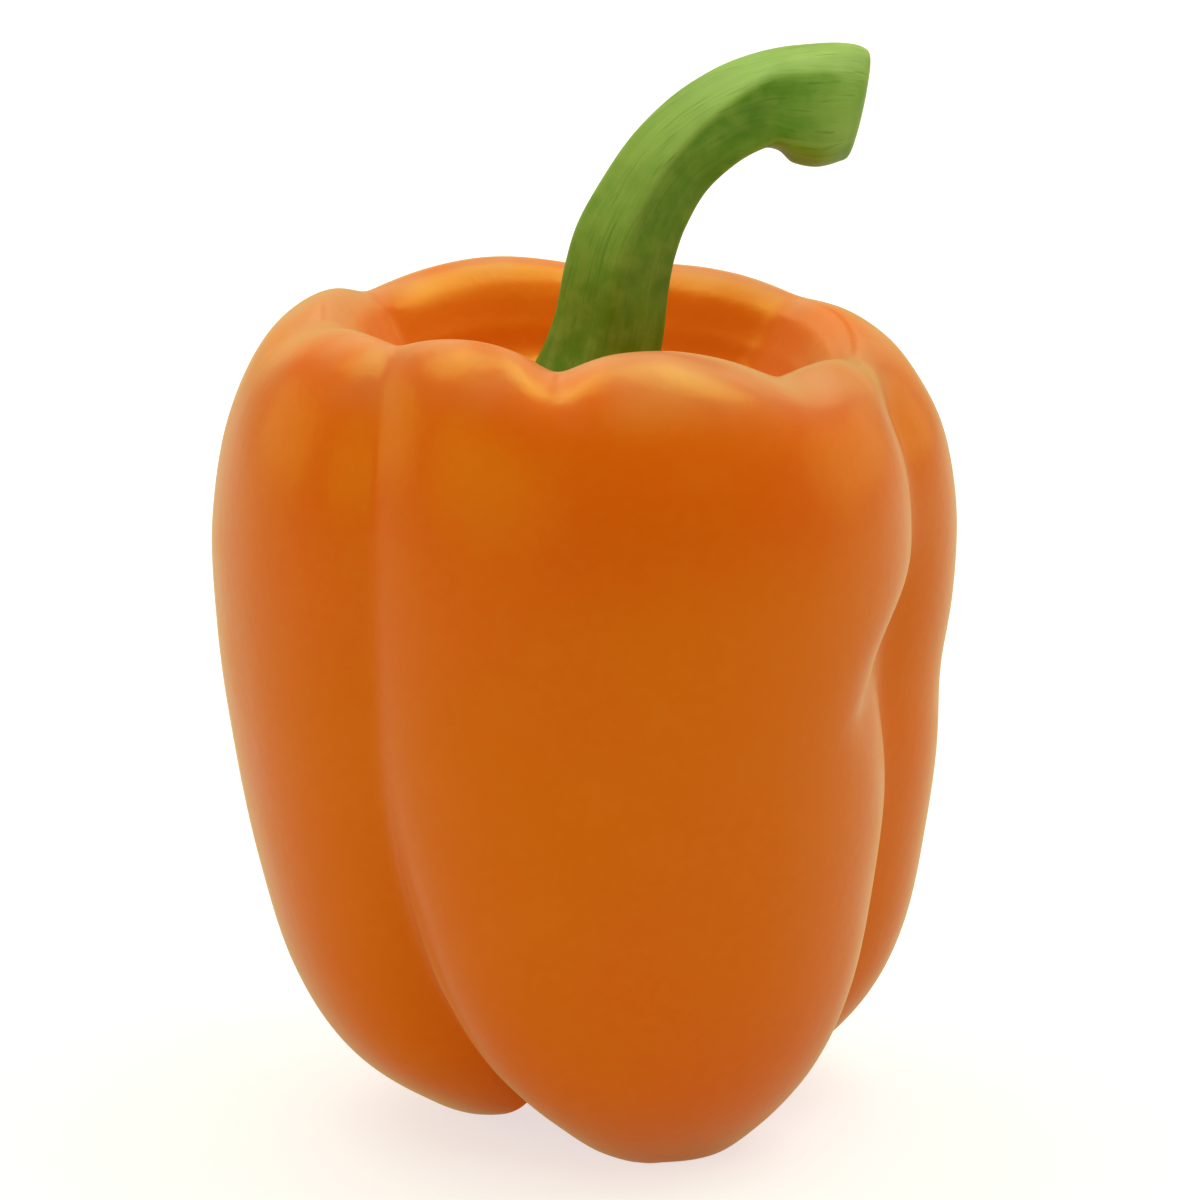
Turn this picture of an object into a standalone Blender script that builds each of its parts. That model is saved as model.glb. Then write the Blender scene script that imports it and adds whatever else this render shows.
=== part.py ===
"""A bell pepper as picked: a blocky fruit with four lobes, and its green stem.

Metres, +Z up. The fruit stands on its lobe tips at z = 0, and the origin is on that
surface, under the middle of the whole pepper's box. Azimuth 0 faces -Y and 90 faces +X.
"""

import bmesh
import bpy
import numpy as np

# Driving dimensions
HEIGHT = 0.0938  # from the surface it stands on to the top of the crown
REACH = 0.0420  # from the axis to the widest part of a lobe
SHIFT = (-0.0004, -0.0002)  # puts the middle of the whole box over the origin

# The meridian runs from the blossom end, under the fruit, round a foot, up the side, over
# the shoulder and the crown, and down to the middle of the stem hollow. Each station is a
# share of the reach and a share of the height, and a place along it is a station number.
MERIDIAN = [
    (0.00, 0.096),
    (0.15, 0.083),
    (0.30, 0.030),
    (0.45, -0.010),
    (0.615, 0.028),
    (0.765, 0.098),
    (0.862, 0.197),
    (0.92, 0.330),
    (0.965, 0.480),
    (0.995, 0.618),
    (0.998, 0.746),
    (0.950, 0.864),
    (0.845, 0.957),
    (0.70, 1.000),
    (0.60, 0.978),
    (0.53, 0.930),
    (0.46, 0.884),
    (0.28, 0.868),
    (0.00, 0.864),
]
FOOT_TIP = 3
CROWN = 13
TOP = len(MERIDIAN) - 1

# Rings of (azimuth, value): the reach of each lobe and how far its foot is drawn in towards
# the axis, both as shares, and how much higher its foot and its crown are, in metres.
LOBE_REACH = [
    (-175, 0.952),
    (-135, 0.988),
    (-90, 1.007),
    (-60, 1.000),
    (-20, 0.952),
    (20, 0.940),
    (60, 0.976),
    (108, 1.080),
    (150, 0.988),
]
LOBE_DRAW = [(-150, 0.0), (-75, 0.125), (20, 0.0), (108, 0.25), (150, 0.05)]
LOBE_FOOT = [
    (-175, -0.0006),
    (-98, -0.0010),
    (-52, 0.0018),
    (-10, -0.0002),
    (22, -0.0006),
    (105, -0.0014),
]
LOBE_CROWN = [
    (-160, 0.0001),
    (-130, -0.0004),
    (-100, 0.0014),
    (-60, 0.0018),
    (-25, 0.0028),
    (16, 0.0015),
    (68, -0.0023),
    (94, -0.0037),
    (118, -0.0021),
    (150, -0.0010),
]
DRAW_AT = 2.5  # the station of the whole draw
DRAW_SPREAD = 2.2  # how many stations it fades over
FOOT_SPREAD = 1.5
CROWN_SPREAD = 2.2

# The grooves between the lobes, and the shallower notches in the crown. Each follows its
# own azimuths up the stations of LINE_AT and has its own depths at those of DEPTH_AT.
LINE_AT = (3, 5.5, 11, 13)
DEPTH_AT = (0, 1, 2, 3, 5.5, 8.5, 11.3, 13, 15, 17, 18)
GROOVES = [
    {  # front left
        "azimuth": (-24, -38, -39, -45),
        "width": 13,
        "softness": 0.15,
        "depth": (0, 0.0006, 0.0050, 0.0080, 0.0080, 0.0042, 0.0032, 0.0020, 0.0014, 0.0006, 0),
    },
    {  # front right
        "azimuth": (75, 78, 83, 88),
        "width": 12,
        "softness": 0.35,
        "depth": (0, 0.0006, 0.0050, 0.0080, 0.0080, 0.0070, 0.0055, 0.0022, 0.0016, 0.0008, 0),
    },
    {  # rear right
        "azimuth": (140, 138, 134, 127),
        "width": 13,
        "softness": 0.35,
        "depth": (0, 0.0006, 0.0050, 0.0080, 0.0060, 0.0035, 0.0025, 0.0014, 0.0016, 0.0008, 0),
    },
    {  # rear left
        "azimuth": (-125, -125, -124, -121),
        "width": 13,
        "softness": 0.35,
        "depth": (0, 0.0006, 0.0050, 0.0080, 0.0060, 0.0035, 0.0028, 0.0018, 0.0016, 0.0008, 0),
    },
]
NOTCHES = [
    {  # front, where the stem's foot shows
        "azimuth": (-6, -6, -6, -6),
        "width": 8,
        "softness": 0.5,
        "depth": (0, 0, 0, 0, 0, 0, 0.0009, 0.0048, 0.0026, 0, 0),
    },
    {  # right half of the front lobe
        "azimuth": (48, 48, 48, 51),
        "width": 10,
        "softness": 0.9,
        "depth": (0, 0, 0, 0, 0, 0, 0.0008, 0.0028, 0.0016, 0, 0),
    },
    {  # left lobe
        "azimuth": (-80, -80, -80, -80),
        "width": 10,
        "softness": 0.9,
        "depth": (0, 0, 0, 0, 0, 0, 0.0008, 0.0024, 0.0013, 0, 0),
    },
    {  # rear lobe
        "azimuth": (178, 178, 178, 178),
        "width": 12,
        "softness": 0.6,
        "depth": (0, 0, 0, 0, 0, 0, 0.0008, 0.0018, 0.0012, 0, 0),
    },
]

# Dents in the side. Each is a valley with its own reach along it, above it and below it.
DENTS = [
    {  # waist round the right lobe
        "azimuth": 95,
        "height": 0.0490,
        "length": 0.026,
        "above": 0.0070,
        "below": 0.0070,
        "tilt": 0,
        "depth": 0.0008,
    },
    {  # pinch in the front lobe's flank
        "azimuth": 68,
        "height": 0.0583,
        "length": 0.0085,
        "above": 0.0038,
        "below": 0.0085,
        "tilt": 28,
        "depth": 0.0035,
    },
]
DENTED_REACH = 0.038  # turns azimuth into a length across a dent
SIDE_TOP = 12  # dents end at this station
LEAN = (0.0034, -0.0020)  # how far the feet stand off the crown's axis, in x and y

# The fruit's mesh: its edge loops run along the grooves, whose places on the loops are here
LOOPS = 84
ROWS = 48
GROOVE_LOOPS = (-29, -9, 19, 31)  # rear left, front left, front right, rear right

# The stem, from the middle of its foot in the hollow to the middle of its cut end. Each
# row is the x and z of the centre line, the axis's tilt from +Z towards +X in degrees,
# and half the width.
STEM_ROWS = [
    (0.0015, 0.0814, 4, 0.0000),
    (0.0015, 0.0815, 4, 0.0055),
    (0.0015, 0.0818, 4, 0.0082),
    (0.0015, 0.0827, 4, 0.0088),
    (0.0016, 0.0843, 4, 0.0076),
    (0.0017, 0.0864, 6, 0.0067),
    (0.0021, 0.0887, 8, 0.0059),
    (0.0029, 0.0920, 9, 0.0056),
    (0.0037, 0.0970, 11, 0.0054),
    (0.0048, 0.1012, 17, 0.0052),
    (0.0067, 0.1052, 26, 0.0049),
    (0.0095, 0.1095, 36, 0.0047),
    (0.0131, 0.1133, 48, 0.0047),
    (0.0168, 0.1157, 62, 0.00475),
    (0.0204, 0.1166, 78, 0.0051),
    (0.0236, 0.1163, 92, 0.0062),
    (0.0271, 0.1158, 97, 0.0069),
    (0.0297, 0.1158, 97, 0.0066),
    (0.0306, 0.1158, 97, 0.0058),
    (0.0307, 0.1158, 97, 0.0030),
    (0.0307, 0.1158, 97, 0.0000),
]
# Its flat faces meet in rounded corners: how sharp they are, and how far they are turned
# round the stem in degrees, both as knots along the rows
STEM_FACES = 5
STEM_SHARPNESS = [(0, 4), (4, 5), (7, 7), (13, 8), (17, 5), (20, 4)]
STEM_TURN = [(0, 2), (8, 0), (11, -6), (13, -14), (16, -30), (20, -34)]
STEM_LOOPS = 40
STEM_BANDS = 40

FRUIT_COLOUR = (0.58, 0.115, 0.003)
STEM_COLOUR = (0.12, 0.20, 0.03)


def curve(x, knots):
    """A smooth curve through (x, value) knots, level beyond them."""
    at = np.array([knot[0] for knot in knots], float)
    value = np.array([knot[1] for knot in knots], float)
    slope = np.gradient(value, at)
    x = np.clip(x, at[0], at[-1])
    i = np.clip(np.searchsorted(at, x, side="right") - 1, 0, len(at) - 2)
    step = at[i + 1] - at[i]
    t = (x - at[i]) / step
    rise = t * t * (3 - 2 * t)
    leave = t * (1 - t) ** 2 * step * slope[i]
    arrive = t * t * (t - 1) * step * slope[i + 1]
    return value[i] + (value[i + 1] - value[i]) * rise + leave + arrive


def ring(azimuth, knots):
    """A smooth curve that closes on itself round the fruit."""
    before = [(at - 360, value) for at, value in knots[-2:]]
    after = [(at + 360, value) for at, value in knots[:2]]
    return curve(turned(azimuth, 0), before + knots + after)


def turned(azimuth, centre):
    """Degrees from centre, between -180 and 180."""
    return (azimuth - centre + 180) % 360 - 180


def steps(x, places, values):
    """Eases from value to value with no overshoot."""
    i = np.clip(np.searchsorted(places, x, side="right") - 1, 0, len(places) - 2)
    places = np.array(places, float)
    values = np.array(values, float)
    t = np.clip((x - places[i]) / (places[i + 1] - places[i]), 0, 1)
    return values[i] + (values[i + 1] - values[i]) * t * t * (3 - 2 * t)


def near(x, place, spread):
    """1 at the place, fading to nothing on both sides of it."""
    return np.exp(-(((x - place) / spread) ** 2))


def column(rows, part):
    """One column of a table of stations, as knots for curve()."""
    return [(station, row[part]) for station, row in enumerate(rows)]


def valley(x, softness):
    """1 in the bottom of a groove, falling off either side of it."""
    return np.exp(softness - np.hypot(x, softness))


def groove_line(groove, station):
    return curve(station, list(zip(LINE_AT, groove["azimuth"])))


def groove_depth(azimuth, station):
    depth = 0
    # Under the feet a groove keeps its width in metres, so it spreads in degrees
    spread = np.where(station < FOOT_TIP, station / FOOT_TIP, 1)
    for groove in GROOVES + NOTCHES:
        across = turned(azimuth, groove_line(groove, station)) / groove["width"] * spread
        deepest = steps(station, DEPTH_AT, groove["depth"])
        depth = depth + deepest * valley(across, groove["softness"])
    return depth


def dent_depth(azimuth, station, height):
    depth = 0
    for dent in DENTS:
        across = np.radians(turned(azimuth, dent["azimuth"])) * DENTED_REACH
        up = height - dent["height"]
        cosine = np.cos(np.radians(dent["tilt"]))
        sine = np.sin(np.radians(dent["tilt"]))
        along = (across * cosine + up * sine) / dent["length"]
        over = up * cosine - across * sine
        over = over / np.where(over > 0, dent["above"], dent["below"])
        depth = depth + dent["depth"] * np.exp(-(along**2) - over**2)
    return depth * (station < SIDE_TOP)


def fruit_points(azimuth, station):
    """Places on the fruit's skin, by degrees round it and station along the meridian."""
    draw = ring(azimuth, LOBE_DRAW) * near(station, DRAW_AT, DRAW_SPREAD)
    reach = REACH * ring(azimuth, LOBE_REACH) * (1 - draw)
    radius = reach * curve(station, column(MERIDIAN, 0))
    height = HEIGHT * curve(station, column(MERIDIAN, 1))

    # The way out of the skin, along the meridian's own plane
    nearby = 0.001
    out = curve(station + nearby, column(MERIDIAN, 0)) - curve(
        station - nearby, column(MERIDIAN, 0)
    )
    rise = curve(station + nearby, column(MERIDIAN, 1)) - curve(
        station - nearby, column(MERIDIAN, 1)
    )
    out = out * reach
    rise = rise * HEIGHT
    length = np.hypot(out, rise) + 1e-12
    # Inside the ring of feet the grooves are cut straight up
    out = np.where(station < FOOT_TIP, 1, out / length)
    rise = np.where(station < FOOT_TIP, 0, rise / length)

    height = height + ring(azimuth, LOBE_FOOT) * near(station, FOOT_TIP, FOOT_SPREAD)
    height = height + ring(azimuth, LOBE_CROWN) * near(station, CROWN, CROWN_SPREAD)
    depth = groove_depth(azimuth, station) + dent_depth(azimuth, station, height)
    radius = radius - depth * rise
    height = height + depth * out

    lean = np.clip(1 - height / HEIGHT, 0, 1) ** 3
    turn = np.radians(azimuth)
    x = radius * np.sin(turn) + LEAN[0] * lean + SHIFT[0]
    y = -radius * np.cos(turn) + LEAN[1] * lean + SHIFT[1]
    return np.stack([x, y, np.maximum(height, 0)], axis=-1)


def along_grooves(loop_azimuth, station):
    """Turns even azimuths into ones whose loops run along the grooves."""
    rear_right, rear_left = GROOVES[2], GROOVES[3]
    lines = [
        groove_line(rear_right, station) - 360,
        groove_line(rear_left, station),
        groove_line(GROOVES[0], station),
        groove_line(GROOVES[1], station),
        groove_line(rear_right, station),
        groove_line(rear_left, station) + 360,
    ]
    loops = [GROOVE_LOOPS[3] - LOOPS, *GROOVE_LOOPS, GROOVE_LOOPS[0] + LOOPS]
    places = np.array(loops) * 360 / LOOPS
    i = np.clip(np.searchsorted(places, loop_azimuth, side="right") - 1, 0, 4)
    t = (loop_azimuth - places[i]) / (places[i + 1] - places[i])
    lines = np.stack(np.broadcast_arrays(*lines), axis=-1)
    first = np.take_along_axis(lines, i[..., None], axis=-1)[..., 0]
    second = np.take_along_axis(lines, i[..., None] + 1, axis=-1)[..., 0]
    return first + (second - first) * t


def stem_points(azimuth, station):
    """Places on the stem, by degrees round it and row along it."""
    x = curve(station, column(STEM_ROWS, 0))
    z = curve(station, column(STEM_ROWS, 1))
    tilt = np.radians(curve(station, column(STEM_ROWS, 2)))
    half = np.maximum(curve(station, column(STEM_ROWS, 3)), 0)
    sharpness = curve(station, STEM_SHARPNESS)
    turn = curve(station, STEM_TURN)
    flatness = 0
    for face in range(STEM_FACES):
        middle = turn + 360 * (face + 0.5) / STEM_FACES
        to_face = np.cos(np.radians(azimuth - middle))
        flatness = flatness + np.maximum(to_face, 0) ** sharpness
    half = half / flatness ** (1 / sharpness)
    across = half * np.sin(np.radians(azimuth))
    ahead = half * np.cos(np.radians(azimuth))
    x = x + across * np.cos(tilt)
    z = z - across * np.sin(tilt)
    return np.stack([x + SHIFT[0], SHIFT[1] - ahead, z], axis=-1)


def sphere_places(mesh, stations):
    """Each vertex's azimuth on a unit sphere, and its station from its foot to its top."""
    points = np.array([vertex.co for vertex in mesh.verts])
    azimuth = np.degrees(np.arctan2(points[:, 0], -points[:, 1]))
    return azimuth, stations * (1 - np.arccos(np.clip(points[:, 2], -1, 1)) / np.pi)


def add_object(name, mesh, points, colour, roughness):
    for vertex, point in zip(mesh.verts, points):
        vertex.co = point
    data = bpy.data.meshes.new(name)
    mesh.to_mesh(data)
    mesh.free()
    data.shade_smooth()
    data.materials.append(plain_material(name, colour, roughness))
    item = bpy.data.objects.new(name, data)
    bpy.context.scene.collection.objects.link(item)


def plain_material(name, colour, roughness):
    material = bpy.data.materials.new(name)
    material.use_nodes = True
    shader = material.node_tree.nodes["Principled BSDF"]
    shader.inputs["Base Color"].default_value = (*colour, 1)
    shader.inputs["Roughness"].default_value = roughness
    shader.inputs["Metallic"].default_value = 0
    return material


def make_fruit():
    mesh = bmesh.new()
    bmesh.ops.create_uvsphere(mesh, u_segments=LOOPS, v_segments=ROWS, radius=1)
    azimuth, station = sphere_places(mesh, TOP)
    points = fruit_points(along_grooves(azimuth, station), station)
    add_object("fruit", mesh, points, FRUIT_COLOUR, roughness=0.35)


def make_stem():
    mesh = bmesh.new()
    bmesh.ops.create_uvsphere(mesh, u_segments=STEM_LOOPS, v_segments=STEM_BANDS, radius=1)
    azimuth, station = sphere_places(mesh, len(STEM_ROWS) - 1)
    add_object("stem", mesh, stem_points(azimuth, station), STEM_COLOUR, roughness=0.6)


for item in list(bpy.data.objects):
    bpy.data.objects.remove(item)
make_fruit()
make_stem()
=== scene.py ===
import bmesh
import bpy
import numpy as np
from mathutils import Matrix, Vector, noise


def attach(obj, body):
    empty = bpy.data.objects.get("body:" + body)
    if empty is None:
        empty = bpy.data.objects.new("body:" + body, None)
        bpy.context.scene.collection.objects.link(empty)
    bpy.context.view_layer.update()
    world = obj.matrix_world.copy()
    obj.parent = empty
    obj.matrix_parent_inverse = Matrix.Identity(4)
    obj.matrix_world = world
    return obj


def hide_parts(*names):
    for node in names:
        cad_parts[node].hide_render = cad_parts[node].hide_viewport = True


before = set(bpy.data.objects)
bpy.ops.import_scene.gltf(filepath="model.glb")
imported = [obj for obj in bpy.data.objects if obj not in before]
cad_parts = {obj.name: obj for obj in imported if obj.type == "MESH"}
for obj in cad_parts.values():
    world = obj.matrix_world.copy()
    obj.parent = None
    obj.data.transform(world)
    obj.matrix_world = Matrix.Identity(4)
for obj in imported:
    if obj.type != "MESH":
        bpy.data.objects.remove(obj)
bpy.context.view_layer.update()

print("frame loaded")

# Azimuth 0 faces -Y, towards the camera, and 90 faces +X. Lengths are in metres.

# How a smooth line runs through a few knots


def curve(x, knots):
    at = np.array([knot[0] for knot in knots], float)
    value = np.array([knot[1] for knot in knots], float)
    slope = np.gradient(value, at)
    x = np.clip(x, at[0], at[-1])
    i = np.clip(np.searchsorted(at, x, side="right") - 1, 0, len(at) - 2)
    step = at[i + 1] - at[i]
    t = (x - at[i]) / step
    rise = t * t * (3 - 2 * t)
    leave = t * (1 - t) ** 2 * step * slope[i]
    arrive = t * t * (t - 1) * step * slope[i + 1]
    return value[i] + (value[i + 1] - value[i]) * rise + leave + arrive


def turned(azimuth, centre):
    return (azimuth - centre + 180) % 360 - 180


def ring(azimuth, knots):
    before = [(at - 360, value) for at, value in knots[-2:]]
    after = [(at + 360, value) for at, value in knots[:2]]
    return curve(turned(azimuth, 0), before + knots + after)


def easeBetween(x, places, values):
    places = np.array(places, float)
    values = np.array(values, float)
    i = np.clip(np.searchsorted(places, x, side="right") - 1, 0, len(places) - 2)
    t = np.clip((x - places[i]) / (places[i + 1] - places[i]), 0, 1)
    return values[i] + (values[i + 1] - values[i]) * t * t * (3 - 2 * t)


def near(x, place, spread):
    return np.exp(-(((x - place) / spread) ** 2))


def column(rows, part):
    return [(station, row[part]) for station, row in enumerate(rows)]


# The fruit. Its profile goes from the blossom end under it, round a foot, up the side,
# over the shoulder and the crown and down into the stem hollow. A place along the profile
# is a station number, and each station is a share of the reach and a share of the height.

fruit = {
    "height": 0.0938,
    "reach": 0.0420,
    "shift": (-0.0004, -0.0002),
    "profile": [
        (0.00, 0.096),
        (0.15, 0.083),
        (0.30, 0.030),
        (0.45, -0.010),
        (0.615, 0.028),
        (0.765, 0.098),
        (0.862, 0.197),
        (0.92, 0.330),
        (0.965, 0.480),
        (0.995, 0.618),
        (0.998, 0.746),
        (0.950, 0.864),
        (0.845, 0.957),
        (0.70, 1.000),
        (0.60, 0.978),
        (0.53, 0.930),
        (0.46, 0.884),
        (0.28, 0.868),
        (0.00, 0.864),
    ],
    "footTip": 3,  # stations
    "crown": 13,
    "top": 18,
    # rings of (azimuth, value): how far a lobe reaches, how much of that its lower side
    # is drawn in, and how far its foot and its crown are raised
    "lobeReach": [
        (-175, 0.952),
        (-135, 0.988),
        (-90, 1.007),
        (-60, 1.000),
        (-20, 0.952),
        (20, 0.940),
        (60, 0.976),
        (108, 1.080),
        (150, 0.988),
    ],
    "lobeDraw": [(-150, 0.0), (-75, 0.125), (20, 0.0), (108, 0.25), (150, 0.05)],
    "lobeFoot": [
        (-175, -0.0006),
        (-98, -0.0010),
        (-52, 0.0018),
        (-10, -0.0002),
        (22, -0.0006),
        (105, -0.0014),
    ],
    "lobeCrown": [
        (-160, 0.0001),
        (-130, -0.0004),
        (-100, 0.0014),
        (-60, 0.0018),
        (-25, 0.0028),
        (16, 0.0015),
        (68, -0.0023),
        (94, -0.0037),
        (118, -0.0021),
        (150, -0.0010),
    ],
    # in stations, where the lobes are drawn in and over how many each change fades
    "drawAt": 2.5,
    "drawSpread": 2.2,
    "footSpread": 1.5,
    "crownSpread": 2.2,
    "lean": (0.0034, -0.0020),  # of the feet, fading upwards by the power below
    "leanPower": 3,
    "deepGroove": 0.008,  # as deep as the groove's mark counts
    "dentedReach": 0.038,  # how far from the axis the dents lie
    "inset": 0.0003,  # keeps the rippled mesh inside the solid's box
    # (cells of the noise in a radius of the skin, depth), broad and fine
    "ripples": [(2.6, 0.00015), (8.0, 0.00003)],
    "rippleRise": 6,  # stations that count as one radius of height in that noise
    "sideTop": 12,  # the station above which there are no dents
    # the mesh, and which of its edge loops run along the grooves, in their order below
    "loops": 84,
    "bands": 48,
    "cuts": 3,
    "grooveLoops": (-29, -9, 19, 31),
}

# the stations of the azimuths and of the depths in the grooves and notches
lineAt = (3, 5.5, 11, 13)
depthAt = (0, 1, 2, 3, 5.5, 8.5, 11.3, 13, 15, 17, 18)
grooves = [
    {  # rear left
        "azimuth": (-125, -125, -124, -121),
        "width": 13,
        "softness": 0.35,
        "depth": (
            0, 0.0006, 0.0050, 0.0080, 0.0060, 0.0035, 0.0028, 0.0018, 0.0016, 0.0008, 0,
        ),
    },
    {  # front left
        "azimuth": (-24, -38, -39, -45),
        "width": 13,
        "softness": 0.15,
        "depth": (
            0, 0.0006, 0.0050, 0.0080, 0.0080, 0.0042, 0.0032, 0.0020, 0.0014, 0.0006, 0,
        ),
    },
    {  # front right
        "azimuth": (75, 78, 83, 88),
        "width": 12,
        "softness": 0.35,
        "depth": (
            0, 0.0006, 0.0050, 0.0080, 0.0080, 0.0070, 0.0055, 0.0022, 0.0016, 0.0008, 0,
        ),
    },
    {  # rear right
        "azimuth": (140, 138, 134, 127),
        "width": 13,
        "softness": 0.35,
        "depth": (
            0, 0.0006, 0.0050, 0.0080, 0.0060, 0.0035, 0.0025, 0.0014, 0.0016, 0.0008, 0,
        ),
    },
]
notches = [
    {  # front, where the stem's foot shows
        "azimuth": (-6, -6, -6, -6),
        "width": 8,
        "softness": 0.5,
        "depth": (0, 0, 0, 0, 0, 0, 0.0006, 0.0035, 0.0022, 0, 0),
    },
    {  # right half of the front lobe
        "azimuth": (48, 48, 48, 51),
        "width": 10,
        "softness": 0.9,
        "depth": (0, 0, 0, 0, 0, 0, 0.0008, 0.0028, 0.0016, 0, 0),
    },
    {  # left lobe
        "azimuth": (-80, -80, -80, -80),
        "width": 10,
        "softness": 0.9,
        "depth": (0, 0, 0, 0, 0, 0, 0.0008, 0.0024, 0.0013, 0, 0),
    },
    {  # rear lobe
        "azimuth": (178, 178, 178, 178),
        "width": 12,
        "softness": 0.6,
        "depth": (0, 0, 0, 0, 0, 0, 0.0008, 0.0018, 0.0012, 0, 0),
    },
]
dents = [
    {  # waist round the right lobe
        "azimuth": 95,
        "height": 0.0490,
        "length": 0.026,
        "above": 0.0070,
        "below": 0.0070,
        "tilt": 0,
        "depth": 0.0008,
    },
    {  # pinch in the front lobe's flank
        "azimuth": 68,
        "height": 0.0594,
        "length": 0.0085,
        "above": 0.0040,
        "below": 0.0115,
        "tilt": 28,
        "depth": 0.0033,
    },
    {  # fold at the pinch's end
        "azimuth": 57,
        "height": 0.0545,
        "length": 0.0045,
        "above": 0.0012,
        "below": 0.0040,
        "tilt": 30,
        "depth": 0.0008,
    },
]


def valley(x, softness):
    return np.exp(softness - np.hypot(x, softness))


def grooveLine(groove, station):
    return curve(station, list(zip(lineAt, groove["azimuth"])))


def grooveDepth(valleys, azimuth, station):
    depth = 0
    spread = np.where(station < fruit["footTip"], station / fruit["footTip"], 1)
    for groove in valleys:
        across = turned(azimuth, grooveLine(groove, station)) / groove["width"] * spread
        deepest = easeBetween(station, depthAt, groove["depth"])
        depth = depth + deepest * valley(across, groove["softness"])
    return depth


def dentDepth(azimuth, station, height):
    depth = 0
    for dent in dents:
        across = np.radians(turned(azimuth, dent["azimuth"])) * fruit["dentedReach"]
        up = height - dent["height"]
        cosine = np.cos(np.radians(dent["tilt"]))
        sine = np.sin(np.radians(dent["tilt"]))
        along = (across * cosine + up * sine) / dent["length"]
        over = up * cosine - across * sine
        over = over / np.where(over > 0, dent["above"], dent["below"])
        depth = depth + dent["depth"] * np.exp(-(along**2) - over**2)
    return depth * (station < fruit["sideTop"])


def rippleDepth(azimuth, station):
    turn = np.radians(azimuth)
    places = np.stack([np.sin(turn), np.cos(turn), station / fruit["rippleRise"]], axis=-1)
    depth = 0
    for waves, deepest in fruit["ripples"]:
        raised = [noise.noise(Vector(place) * waves) for place in places]
        depth = depth + deepest * np.array(raised)
    return depth


def fruitPoints(azimuth, station):
    draw = ring(azimuth, fruit["lobeDraw"])
    draw = draw * near(station, fruit["drawAt"], fruit["drawSpread"])
    reach = fruit["reach"] * ring(azimuth, fruit["lobeReach"]) * (1 - draw)
    shares = column(fruit["profile"], 0)
    heights = column(fruit["profile"], 1)
    radius = reach * curve(station, shares)
    height = fruit["height"] * curve(station, heights)

    # the way out of the skin, in the profile's own plane
    nearby = 0.001  # of a station
    out = curve(station + nearby, shares) - curve(station - nearby, shares)
    rise = curve(station + nearby, heights) - curve(station - nearby, heights)
    out = out * reach
    rise = rise * fruit["height"]
    length = np.hypot(out, rise) + 1e-12  # never zero
    underside = station < fruit["footTip"]
    out = np.where(underside, 1, out / length)
    rise = np.where(underside, 0, rise / length)

    foot = ring(azimuth, fruit["lobeFoot"])
    crown = ring(azimuth, fruit["lobeCrown"])
    height = height + foot * near(station, fruit["footTip"], fruit["footSpread"])
    height = height + crown * near(station, fruit["crown"], fruit["crownSpread"])
    # grooves and dents sink into the skin, and a notch sinks straight down into the crown
    depth = grooveDepth(grooves, azimuth, station) + dentDepth(azimuth, station, height)
    depth = depth + rippleDepth(azimuth, station) + fruit["inset"]
    radius = radius - depth * rise
    height = height + depth * out - grooveDepth(notches, azimuth, station)

    lean = np.clip(1 - height / fruit["height"], 0, 1) ** fruit["leanPower"]
    turn = np.radians(azimuth)
    x = radius * np.sin(turn) + fruit["lean"][0] * lean + fruit["shift"][0]
    y = -radius * np.cos(turn) + fruit["lean"][1] * lean + fruit["shift"][1]
    return np.stack([x, y, np.maximum(height, 0)], axis=-1)


def alongGrooves(loopAzimuth, station):
    # turns the mesh's edge loops so that some of them run along the grooves
    lines = [grooveLine(groove, station) for groove in grooves]
    lines = [lines[-1] - 360, *lines, lines[0] + 360]
    loops = fruit["grooveLoops"]
    loops = [loops[-1] - fruit["loops"], *loops, loops[0] + fruit["loops"]]
    places = np.array(loops) * 360 / fruit["loops"]
    i = np.clip(np.searchsorted(places, loopAzimuth, side="right") - 1, 0, len(grooves))
    t = (loopAzimuth - places[i]) / (places[i + 1] - places[i])
    lines = np.stack(lines, axis=-1)
    first = np.take_along_axis(lines, i[..., None], axis=-1)[..., 0]
    second = np.take_along_axis(lines, i[..., None] + 1, axis=-1)[..., 0]
    return first + (second - first) * t


def placeFruit(azimuth, share):
    station = share * fruit["top"]
    azimuth = alongGrooves(azimuth, station)
    groove = np.clip(grooveDepth(grooves, azimuth, station) / fruit["deepGroove"], 0, 1)
    return fruitPoints(azimuth, station), {"rise": share, "groove": groove}


# The stem. Each row is the x and z of its centre line, the axis's tilt from +Z towards
# +X in degrees, and half its width, from the middle of its foot to the cut end.

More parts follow.
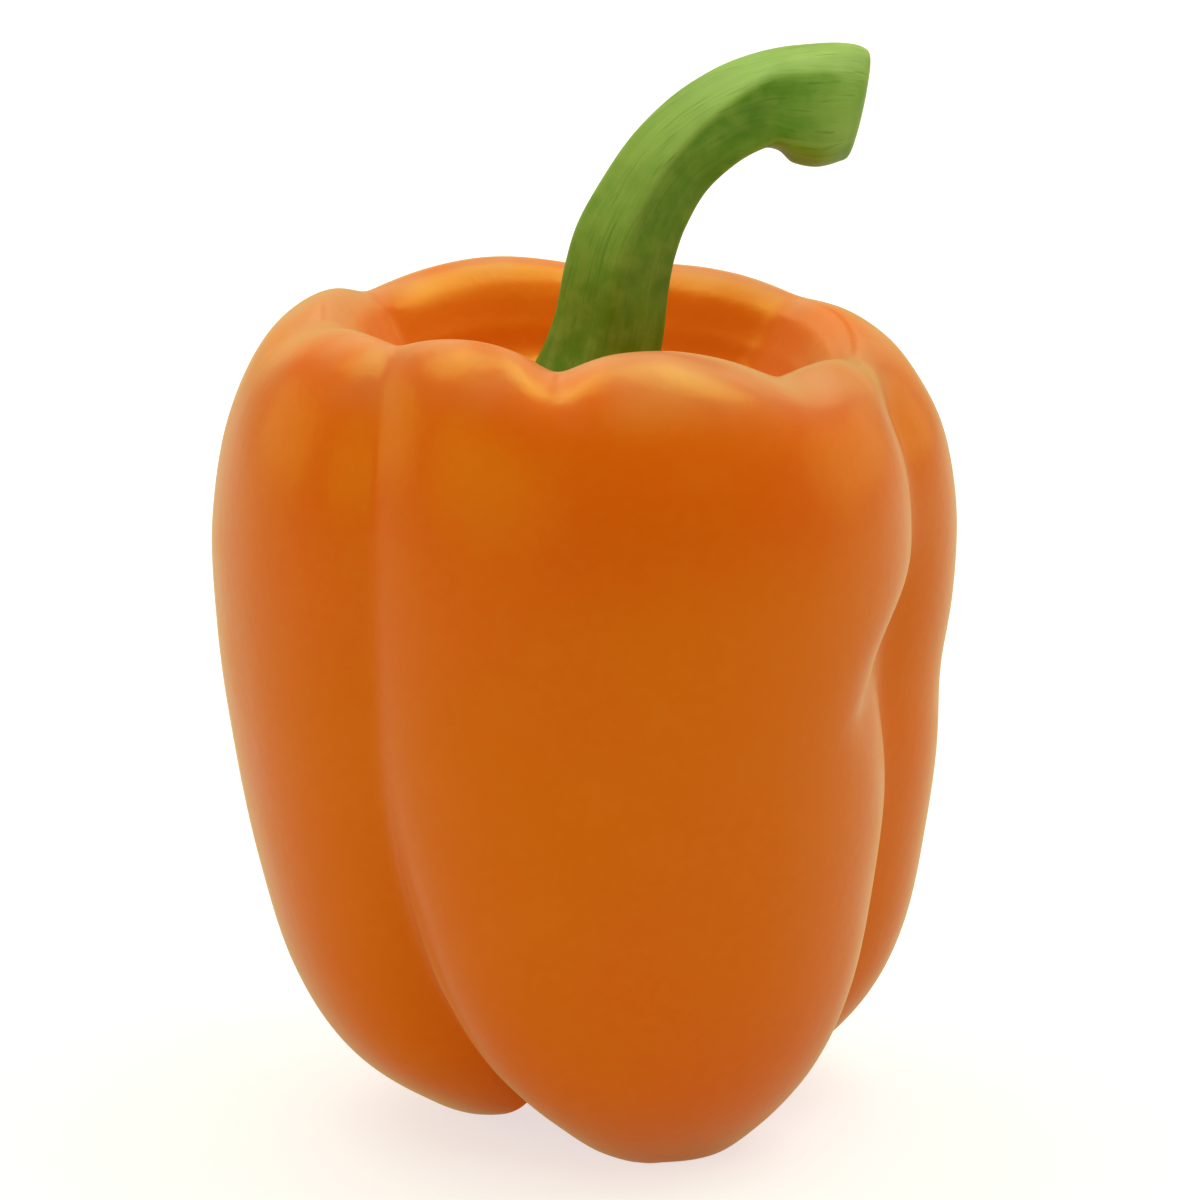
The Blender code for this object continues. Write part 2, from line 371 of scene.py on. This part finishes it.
stem = {
    "rows": [
        (0.0015, 0.0814, 4, 0.0000),
        (0.0015, 0.0815, 4, 0.0055),
        (0.0015, 0.0818, 4, 0.0082),
        (0.0015, 0.0827, 4, 0.0088),
        (0.0016, 0.0843, 4, 0.0076),
        (0.0017, 0.0864, 6, 0.0067),
        (0.0021, 0.0887, 8, 0.0059),
        (0.0029, 0.0920, 9, 0.0055),
        (0.0037, 0.0970, 11, 0.00525),
        (0.0048, 0.1012, 17, 0.00505),
        (0.0067, 0.1052, 26, 0.0047),
        (0.0095, 0.1095, 36, 0.0045),
        (0.0131, 0.1129, 48, 0.0045),
        (0.0168, 0.1151, 62, 0.0046),
        (0.0204, 0.1162, 79, 0.0050),
        (0.0236, 0.1161, 94, 0.0061),
        (0.0269, 0.1160, 100, 0.0068),
        (0.0293, 0.1161, 102, 0.0066),
        (0.0303, 0.1160, 102, 0.0059),
        (0.0306, 0.1160, 102, 0.0032),
        (0.0307, 0.1160, 102, 0.0000),
    ],
    "faces": 5,
    "sharpness": [(0, 4), (4, 5), (7, 11), (13, 16), (15, 6), (17, 3), (20, 3)],
    "turn": [(0, 2), (8, 0), (11, -8), (13, -24), (14.5, -42), (17, -42), (20, -42)],
    "grainLength": 8,  # of the stem against its radius of one
    "loops": 40,
    "bands": 50,
    "cuts": 3,
}


def stemPoints(azimuth, station):
    x = curve(station, column(stem["rows"], 0))
    z = curve(station, column(stem["rows"], 1))
    tilt = np.radians(curve(station, column(stem["rows"], 2)))
    half = np.maximum(curve(station, column(stem["rows"], 3)), 0)
    # flat faces that meet in rounded corners
    sharpness = curve(station, stem["sharpness"])
    turn = curve(station, stem["turn"])
    lean = 0
    for face in range(stem["faces"]):
        middle = turn + 360 * (face + 0.5) / stem["faces"]
        toFace = np.cos(np.radians(azimuth - middle))
        lean = lean + np.maximum(toFace, 0) ** sharpness
    half = half / lean ** (1 / sharpness)
    across = half * np.sin(np.radians(azimuth))
    ahead = half * np.cos(np.radians(azimuth))
    x = x + across * np.cos(tilt) + fruit["shift"][0]
    z = z - across * np.sin(tilt)
    return np.stack([x, fruit["shift"][1] - ahead, z], axis=-1)


def placeStem(azimuth, share):
    station = share * (len(stem["rows"]) - 1)
    turn = np.radians(azimuth)
    around = (np.cos(turn), np.sin(turn), share * stem["grainLength"])
    fromCrest = azimuth - curve(station, stem["turn"])
    marks = {
        "along": share,
        "ridge": np.cos(np.radians(stem["faces"] * fromCrest)),
        "outer": np.cos(np.radians(fromCrest + 180 / stem["faces"])),
        "grain": np.stack(around, axis=-1),
    }
    return stemPoints(azimuth, station), marks


# A piece is a unit sphere whose vertices a formula puts in place. The formula gets the
# azimuth in degrees, and the share of the way from the sphere's lowest point to its top.


def spherePiece(name, look, place, material, node):
    sphere = bmesh.new()
    bmesh.ops.create_uvsphere(
        sphere, u_segments=look["loops"], v_segments=look["bands"], radius=1
    )
    bmesh.ops.subdivide_edges(
        sphere, edges=sphere.edges[:], cuts=look["cuts"], use_grid_fill=True
    )
    mesh = bpy.data.meshes.new(name)
    sphere.to_mesh(mesh)
    sphere.free()
    points = np.empty(len(mesh.vertices) * 3)
    mesh.vertices.foreach_get("co", points)
    points = points.reshape(-1, 3)
    points = points / np.linalg.norm(points, axis=1)[:, None]
    azimuth = np.degrees(np.arctan2(points[:, 0], -points[:, 1]))
    share = 1 - np.arccos(np.clip(points[:, 2], -1, 1)) / np.pi
    points, marks = place(azimuth, share)
    mesh.vertices.foreach_set("co", points.ravel())
    for mark, values in marks.items():
        kind, part = ("FLOAT", "value") if values.ndim == 1 else ("FLOAT_VECTOR", "vector")
        attribute = mesh.attributes.new(mark, kind, "POINT")
        attribute.data.foreach_set(part, values.ravel())
    mesh.shade_smooth()
    mesh.materials.append(material)
    piece = bpy.data.objects.new(name, mesh)
    bpy.context.scene.collection.objects.link(piece)
    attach(piece, "root")
    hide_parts(node)


def newMaterial(name):
    material = bpy.data.materials.new(name)
    material.use_nodes = True
    nodes = material.node_tree.nodes
    return material, nodes, material.node_tree.links, nodes["Principled BSDF"]


# Patches of a noise as a mask, from 0 below Low to 1 above High


def makePatches():
    group = bpy.data.node_groups.new("patches", "ShaderNodeTree")
    face = group.interface
    face.new_socket("Vector", in_out="INPUT", socket_type="NodeSocketVector")
    for name in ("Scale", "Detail", "Low", "High"):
        face.new_socket(name, in_out="INPUT", socket_type="NodeSocketFloat")
    face.new_socket("Mask", in_out="OUTPUT", socket_type="NodeSocketFloat")
    nodes, links = group.nodes, group.links
    given = nodes.new("NodeGroupInput")
    clouds = nodes.new("ShaderNodeTexNoise")
    span = nodes.new("ShaderNodeMapRange")
    span.interpolation_type = "SMOOTHSTEP"
    result = nodes.new("NodeGroupOutput")
    links.new(given.outputs["Vector"], clouds.inputs["Vector"])
    links.new(given.outputs["Scale"], clouds.inputs["Scale"])
    links.new(given.outputs["Detail"], clouds.inputs["Detail"])
    links.new(clouds.outputs["Fac"], span.inputs["Value"])
    links.new(given.outputs["Low"], span.inputs["From Min"])
    links.new(given.outputs["High"], span.inputs["From Max"])
    links.new(span.outputs["Result"], result.inputs["Mask"])
    return group


# Small round flecks, one in a few of the cells of a cell pattern


def makeFlecks():
    group = bpy.data.node_groups.new("flecks", "ShaderNodeTree")
    face = group.interface
    face.new_socket("Vector", in_out="INPUT", socket_type="NodeSocketVector")
    for name in ("Scale", "Size", "Rarity"):
        face.new_socket(name, in_out="INPUT", socket_type="NodeSocketFloat")
    face.new_socket("Mask", in_out="OUTPUT", socket_type="NodeSocketFloat")
    nodes, links = group.nodes, group.links
    given = nodes.new("NodeGroupInput")
    cells = nodes.new("ShaderNodeTexVoronoi")
    dot = nodes.new("ShaderNodeMapRange")
    dot.interpolation_type = "SMOOTHSTEP"
    dot.inputs["To Min"].default_value = 1
    dot.inputs["To Max"].default_value = 0
    pick = nodes.new("ShaderNodeSeparateColor")
    chosen = nodes.new("ShaderNodeMath")
    chosen.operation = "GREATER_THAN"
    both = nodes.new("ShaderNodeMath")
    both.operation = "MULTIPLY"
    result = nodes.new("NodeGroupOutput")
    links.new(given.outputs["Vector"], cells.inputs["Vector"])
    links.new(given.outputs["Scale"], cells.inputs["Scale"])
    links.new(cells.outputs["Distance"], dot.inputs["Value"])
    links.new(given.outputs["Size"], dot.inputs["From Max"])
    links.new(cells.outputs["Color"], pick.inputs["Color"])
    links.new(pick.outputs["Red"], chosen.inputs[0])
    links.new(given.outputs["Rarity"], chosen.inputs[1])
    links.new(dot.outputs["Result"], both.inputs[0])
    links.new(chosen.outputs[0], both.inputs[1])
    links.new(both.outputs[0], result.inputs["Mask"])
    return group


patches = makePatches()
flecks = makeFlecks()


def addGroup(nodes, links, group, vector, **values):
    added = nodes.new("ShaderNodeGroup")
    added.node_tree = group
    links.new(vector, added.inputs["Vector"])
    for name, value in values.items():
        added.inputs[name].default_value = value
    return added.outputs["Mask"]


def addSpan(nodes, links, value, low, high, toLow=0, toHigh=1):
    span = nodes.new("ShaderNodeMapRange")
    span.interpolation_type = "SMOOTHSTEP"
    links.new(value, span.inputs["Value"])
    span.inputs["From Min"].default_value = low
    span.inputs["From Max"].default_value = high
    span.inputs["To Min"].default_value = toLow
    span.inputs["To Max"].default_value = toHigh
    return span.outputs["Result"]


def addProduct(nodes, links, first, second):
    product = nodes.new("ShaderNodeMath")
    product.operation = "MULTIPLY"
    links.new(first, product.inputs[0])
    if isinstance(second, (int, float)):
        product.inputs[1].default_value = second
    else:
        links.new(second, product.inputs[1])
    return product.outputs[0]


def addMix(nodes, links, under, colour, mask, most):
    # lays a colour over the one below, where the mask is
    mix = nodes.new("ShaderNodeMix")
    mix.data_type = "RGBA"
    links.new(addProduct(nodes, links, mask, most), mix.inputs["Factor"])
    if isinstance(under, tuple):
        mix.inputs["A"].default_value = (*under, 1)
    else:
        links.new(under, mix.inputs["A"])
    mix.inputs["B"].default_value = (*colour, 1)
    return mix.outputs["Result"]


def addLayers(nodes, links, look, masks):
    colour = look["colour"]
    for mask, paint, most in look["layers"]:
        colour = addMix(nodes, links, colour, look[paint], masks[mask], most)
    return colour


def addBump(nodes, links, height, strength, depth):
    bump = nodes.new("ShaderNodeBump")
    bump.inputs["Strength"].default_value = strength
    bump.inputs["Distance"].default_value = depth
    links.new(height, bump.inputs["Height"])
    return bump.outputs["Normal"]


def addMark(nodes, name):
    mark = nodes.new("ShaderNodeAttribute")
    mark.attribute_name = name
    return mark


# Orange skin

skinLook = {
    "colour": (0.89, 0.114, 0.001),
    "yellower": (0.89, 0.170, 0.001),  # towards the feet
    "redder": (0.92, 0.092, 0.006),  # in broad patches below the crown
    "paler": (0.93, 0.210, 0.014),  # in small patches, in the pores and in the flecks
    "crownHighlight": (0.81, 0.268, 0.135),  # painted highlight: pale colour in patches on the crown's rolls, where the lights above fall
    # darker in the grooves: painted shade
    "groove": (0.84, 0.105, 0.001),
    # noises, by the metre
    "broad": {"Scale": 28, "Detail": 1, "Low": 0.45, "High": 0.70},
    "soft": {"Scale": 110, "Detail": 3, "Low": 0.45, "High": 0.75},
    "fine": {"Scale": 700, "Detail": 2, "Low": 0.35, "High": 0.75},
    "highlightPatches": {"Scale": 70, "Detail": 2, "Low": 0.30, "High": 0.62},
    "dots": {"Scale": 110, "Size": 0.035, "Rarity": 0.93},
    # where a mask starts and is full, as a share of the profile or of a deep groove
    "lowSpan": (0.34, 0.14),
    "belowCrown": (0.74, 0.66),
    # the band on the crown's rolls that gets the painted highlight
    "crownHighlightFrom": (0.635, 0.705),
    "crownHighlightTo": (0.790, 0.740),
    "grooveSpan": (0.25, 0.9),
    # each mask, its colour and how much of it is laid over what is below
    "layers": [
        ("low", "yellower", 0.7),
        ("redPatches", "redder", 0.65),
        ("soft", "paler", 0.12),
        # painted shade in the grooves
        ("grooveShade", "groove", 0.5),
        # painted highlight on the crown's rolls, in patches
        ("paintedHighlight", "crownHighlight", 0.75),
        ("fine", "paler", 0.10),
        ("dots", "paler", 0.6),
    ],
    "roughness": (0.28, 0.36),
    "specular": 0.9,
    "specularTint": (0.80, 1.0, 0.06),
    "sheen": 0.70,
    "sheenRoughness": 0.38,
    "sheenTint": (1.0, 0.78, 0.28),
    "poreStrength": 0.6,
    "poreDepth": 0.00002,
}


def makeSkin():
    material, nodes, links, shader = newMaterial("pepperSkin")
    place = nodes.new("ShaderNodeTexCoord").outputs["Object"]
    rise = addMark(nodes, "rise").outputs["Fac"]
    groove = addMark(nodes, "groove").outputs["Fac"]

    broad = addGroup(nodes, links, patches, place, **skinLook["broad"])
    belowCrown = addSpan(nodes, links, rise, *skinLook["belowCrown"])
    highlightPatches = addGroup(nodes, links, patches, place, **skinLook["highlightPatches"])
    # a painted highlight on the crown's rolls, broken into patches
    crownHighlightFrom = addSpan(nodes, links, rise, *skinLook["crownHighlightFrom"])
    crownHighlightTo = addSpan(nodes, links, rise, *skinLook["crownHighlightTo"])
    onCrown = addProduct(nodes, links, crownHighlightFrom, crownHighlightTo)
    masks = {
        "low": addSpan(nodes, links, rise, *skinLook["lowSpan"]),
        "redPatches": addProduct(nodes, links, broad, belowCrown),
        "soft": addGroup(nodes, links, patches, place, **skinLook["soft"]),
        # painted shade, darker where the grooves are deep
        "grooveShade": addSpan(nodes, links, groove, *skinLook["grooveSpan"]),
        "paintedHighlight": addProduct(nodes, links, onCrown, highlightPatches),
        "fine": addGroup(nodes, links, patches, place, **skinLook["fine"]),
        "dots": addGroup(nodes, links, flecks, place, **skinLook["dots"]),
    }
    links.new(addLayers(nodes, links, skinLook, masks), shader.inputs["Base Color"])
    gloss = addSpan(nodes, links, masks["soft"], 0, 1, *skinLook["roughness"])
    links.new(gloss, shader.inputs["Roughness"])
    strength, depth = skinLook["poreStrength"], skinLook["poreDepth"]
    pores = addBump(nodes, links, masks["fine"], strength, depth)
    links.new(pores, shader.inputs["Normal"])

    shader.inputs["Specular IOR Level"].default_value = skinLook["specular"]
    shader.inputs["Specular Tint"].default_value = (*skinLook["specularTint"], 1)
    shader.inputs["Sheen Weight"].default_value = skinLook["sheen"]
    shader.inputs["Sheen Roughness"].default_value = skinLook["sheenRoughness"]
    shader.inputs["Sheen Tint"].default_value = (*skinLook["sheenTint"], 1)
    return material


# Green stem

stemLook = {
    "colour": (0.110, 0.310, 0.008),
    "darker": (0.060, 0.200, 0.003),  # near the foot, in clouds and in fine dashes
    "paler": (0.42, 0.62, 0.14),  # in streaks, on the ridges and the end, and as painted light on the upper outer face that the lamps reach
    "cut": (0.420, 0.520, 0.150),
    # noises along the fibres, and by the metre
    "fibreStretch": (1, 1, 0.12),
    "streaks": {"Scale": 5, "Detail": 4, "Low": 0.40, "High": 0.70},
    "dashes": {"Scale": 16, "Detail": 2, "Low": 0.60, "High": 0.72},
    "mottle": {"Scale": 420, "Detail": 3, "Low": 0.35, "High": 0.70},
    "cloud": {"Scale": 130, "Detail": 2, "Low": 0.40, "High": 0.70},
    # the mark that a mask reads, and where it starts and is full
    "spans": {
        "foot": ("along", 0.42, 0.18),
        "shaft": ("along", 0.36, 0.60),
        "bend": ("along", 0.72, 0.62),
        "end": ("along", 0.72, 0.84),
        "cut": ("along", 0.895, 0.915),
        "crest": ("ridge", 0.90, 1.0),
        # the upper outer face, paler as painted light
        "upper": ("outer", 0.70, 0.86),
        "under": ("outer", -0.55, -0.85),
    },
    "endUpper": (-0.7, 0.1),
    "endUnderShade": 0.35,  # what is left of the paler end on its underside, dimmed there as painted shade
    # each mask, its colour and how much of it is laid over what is below
    "layers": [
        ("foot", "darker", 0.5),
        ("end", "paler", 0.65),
        # painted light on the upper outer face
        ("upper", "paler", 0.62),
        ("under", "paler", 0.45),
        ("streaks", "paler", 0.14),
        ("cloud", "darker", 0.40),
        ("ridged", "paler", 0.22),
        ("mottle", "paler", 0.22),
        ("dashes", "darker", 0.4),
        ("cut", "cut", 0.8),
    ],
    "roughness": (0.45, 0.60),
    "specular": 0.3,
    "fibreStrength": 0.7,
    "fibreDepth": 0.00008,
}


def makeStemSkin():
    material, nodes, links, shader = newMaterial("pepperStemSkin")
    place = nodes.new("ShaderNodeTexCoord").outputs["Object"]
    marks = {name: addMark(nodes, name).outputs["Fac"] for name in ("along", "ridge", "outer")}
    stretch = nodes.new("ShaderNodeMapping")
    stretch.inputs["Scale"].default_value = stemLook["fibreStretch"]
    links.new(addMark(nodes, "grain").outputs["Vector"], stretch.inputs["Vector"])
    fibre = stretch.outputs["Vector"]

    masks = {
        "streaks": addGroup(nodes, links, patches, fibre, **stemLook["streaks"]),
        "dashes": addGroup(nodes, links, patches, fibre, **stemLook["dashes"]),
        "mottle": addGroup(nodes, links, patches, place, **stemLook["mottle"]),
        "cloud": addGroup(nodes, links, patches, place, **stemLook["cloud"]),
    }
    for name, (mark, start, full) in stemLook["spans"].items():
        masks[name] = addSpan(nodes, links, marks[mark], start, full)
    # the paler end is dimmed on its underside: painted shade
    shade = addSpan(nodes, links, marks["outer"], *stemLook["endUpper"], stemLook["endUnderShade"])
    masks["end"] = addProduct(nodes, links, masks["end"], shade)
    masks["ridged"] = addProduct(nodes, links, masks["crest"], masks["shaft"])
    # painted light on the upper outer face, along the shaft
    masks["upper"] = addProduct(nodes, links, masks["upper"], masks["shaft"])
    masks["under"] = addProduct(nodes, links, masks["under"], masks["shaft"])
    masks["under"] = addProduct(nodes, links, masks["under"], masks["bend"])

    links.new(addLayers(nodes, links, stemLook, masks), shader.inputs["Base Color"])
    gloss = addSpan(nodes, links, masks["mottle"], 0, 1, *stemLook["roughness"])
    links.new(gloss, shader.inputs["Roughness"])
    strength, depth = stemLook["fibreStrength"], stemLook["fibreDepth"]
    fibres = addBump(nodes, links, masks["streaks"], strength, depth)
    links.new(fibres, shader.inputs["Normal"])
    shader.inputs["Specular IOR Level"].default_value = stemLook["specular"]
    return material


spherePiece("pepperFruit", fruit, placeFruit, makeSkin(), "fruit")
print("fruit made")
spherePiece("pepperStem", stem, placeStem, makeStemSkin(), "stem")
print("stem made")

# Studio: a pale floor, broad soft panels beside, above and behind, and dim ones in front

studio = {
    "floorSize": 8.0,
    "floorColour": (0.5, 0.5, 0.5),
    "floorRoughness": 0.9,
    "glowColour": (1.0, 1.0, 1.0),
    "floorGlow": 0.20,
    "floorShown": 0.46,  # more glow, for the camera alone
    "backdrop": (1.0, 1.0, 1.0),
    "fill": (0.33, 0.32, 0.16),
    "aim": (0, 0, 0.06),
    "distance": 1.5,
    "upper": (1.0, 1.0, 1.0),  # tints of the panels
    "lower": (1.0, 0.98, 0.50),
}
# azimuth and elevation in degrees, width and height in metres, radiance and tint
lights = {
    "keyRight": (95, 58, 0.7, 0.7, 2.6, "upper"),
    "keyLeft": (-95, 58, 0.7, 0.7, 1.9, "upper"),
    "topRight": (125, 74, 0.6, 0.6, 2.7, "upper"),
    "topLeft": (-125, 74, 0.6, 0.6, 2.2, "upper"),
    "rearRight": (150, 50, 0.9, 0.8, 1.0, "upper"),
    "rearLeft": (-150, 50, 0.9, 0.8, 1.2, "upper"),
    "frontRight": (35, 50, 0.8, 0.8, 0.7, "upper"),
    "lowLeft": (-38, 16, 1.3, 0.7, 0.7, "lower"),
    "wallLeft": (-100, 14, 1.1, 0.6, 0.78, "lower"),
    "wallRight": (110, 14, 1.2, 0.6, 0.82, "lower"),
    "wallRear": (180, 20, 2.2, 0.9, 0.45, "lower"),
}

for name, (azimuth, elevation, width, height, radiance, tint) in lights.items():
    level = np.cos(np.radians(elevation))
    rise = np.sin(np.radians(elevation))
    turn = np.radians(azimuth)
    way = Vector((np.sin(turn) * level, -np.cos(turn) * level, rise))
    data = bpy.data.lights.new(name, "AREA")
    data.shape = "RECTANGLE"
    data.size = width
    data.size_y = height
    data.energy = radiance * np.pi * width * height  # watts
    data.color = studio[tint]
    lamp = bpy.data.objects.new(name, data)
    lamp.location = Vector(studio["aim"]) + way * studio["distance"]
    lamp.rotation_euler = way.to_track_quat("Z", "Y").to_euler()
    lamp.visible_camera = False
    bpy.context.scene.collection.objects.link(lamp)

# the camera sees a white world past the floor, and the pepper gets a dim warm fill from it
world = bpy.data.worlds.new("studio")
world.use_nodes = True
nodes, links = world.node_tree.nodes, world.node_tree.links
fill = nodes["Background"]
fill.inputs["Color"].default_value = (*studio["fill"], 1)
backdrop = nodes.new("ShaderNodeBackground")
backdrop.inputs["Color"].default_value = (*studio["backdrop"], 1)
rays = nodes.new("ShaderNodeLightPath")
either = nodes.new("ShaderNodeMixShader")
links.new(rays.outputs["Is Camera Ray"], either.inputs["Fac"])
links.new(fill.outputs["Background"], either.inputs[1])
links.new(backdrop.outputs["Background"], either.inputs[2])
links.new(either.outputs["Shader"], nodes["World Output"].inputs["Surface"])
bpy.context.scene.world = world

mesh = bmesh.new()
bmesh.ops.create_grid(mesh, x_segments=1, y_segments=1, size=studio["floorSize"] / 2)
data = bpy.data.meshes.new("floor")
mesh.to_mesh(data)
mesh.free()
floorPaint, nodes, links, shader = newMaterial("floorPaint")
shader.inputs["Base Color"].default_value = (*studio["floorColour"], 1)
shader.inputs["Roughness"].default_value = studio["floorRoughness"]
shader.inputs["Specular IOR Level"].default_value = 0
shader.inputs["Emission Color"].default_value = (*studio["glowColour"], 1)
# the floor glows a little, and more to the camera, so that it looks white
rays = nodes.new("ShaderNodeLightPath")
glow = nodes.new("ShaderNodeMath")
glow.operation = "MULTIPLY_ADD"
links.new(rays.outputs["Is Camera Ray"], glow.inputs[0])
glow.inputs[1].default_value = studio["floorShown"]
glow.inputs[2].default_value = studio["floorGlow"]
links.new(glow.outputs[0], shader.inputs["Emission Strength"])
data.materials.append(floorPaint)
floor = bpy.data.objects.new("floor", data)
bpy.context.scene.collection.objects.link(floor)

bpy.context.scene.view_settings.view_transform = "Standard"
print("studio lit")

# Camera, at the photograph's angle

shot = {
    "target": (0.00145, -0.0002, 0.0594),
    "distance": 0.680,
    "elevation": 16,
    "lens": 181.3,
    "sensor": 36,
}
target = Vector(shot["target"])
elevation = np.radians(shot["elevation"])
back = Vector((0, -np.cos(elevation), np.sin(elevation)))
data = bpy.data.cameras.new("camera")
data.lens = shot["lens"]
data.sensor_width = shot["sensor"]
camera = bpy.data.objects.new("camera", data)
camera.location = target + back * shot["distance"]
camera.rotation_euler = (-back).to_track_quat("-Z", "Y").to_euler()
bpy.context.scene.collection.objects.link(camera)
bpy.context.scene.camera = camera
print("camera placed")
